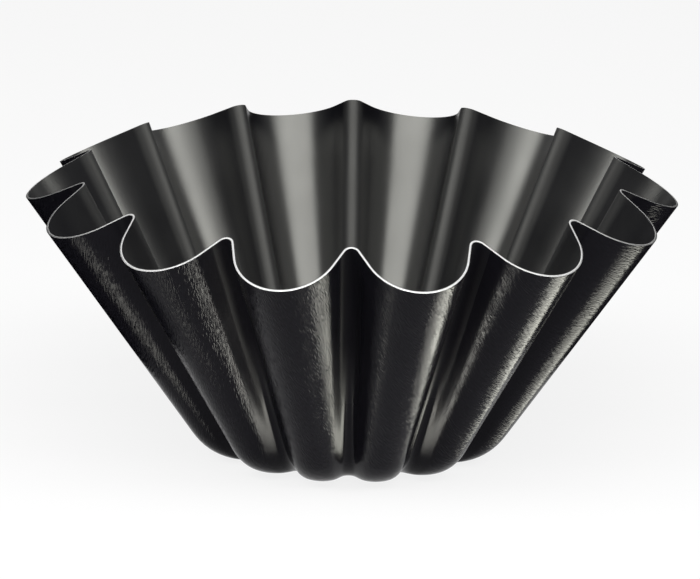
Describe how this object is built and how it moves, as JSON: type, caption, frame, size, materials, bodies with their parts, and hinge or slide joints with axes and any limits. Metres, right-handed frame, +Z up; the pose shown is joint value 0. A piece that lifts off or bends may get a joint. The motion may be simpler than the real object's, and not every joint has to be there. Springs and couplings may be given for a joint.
{
  "type": "brioche mould",
  "caption": "Deep round baking mould with a small flat base and flaring fluted walls, pressed from sheet steel with a dark non-stick coat on both faces.",
  "frame": {"origin": "centre of the underside of the flat base, on the surface that the mould stands on", "axes": "+Z up along the axis of the cup, -Y towards the ridge at the front, +X to the right through the middle of a lobe"},
  "size_m": [0.22, 0.2154, 0.0967],
  "materials": {
    "sheet_steel": "bare bright steel, seen only at the cut edge of the rim",
    "inner_coat": "satin black non-stick coat with a very fine grain",
    "outer_coat": "semi-gloss black non-stick coat with a fine leather-like grain"
  },
  "bodies": {
    "root": {"pressed_steel_shell": "sheet_steel", "inner_nonstick_coat": "inner_coat", "outer_nonstick_coat": "outer_coat"}
  },
  "joints": []
}
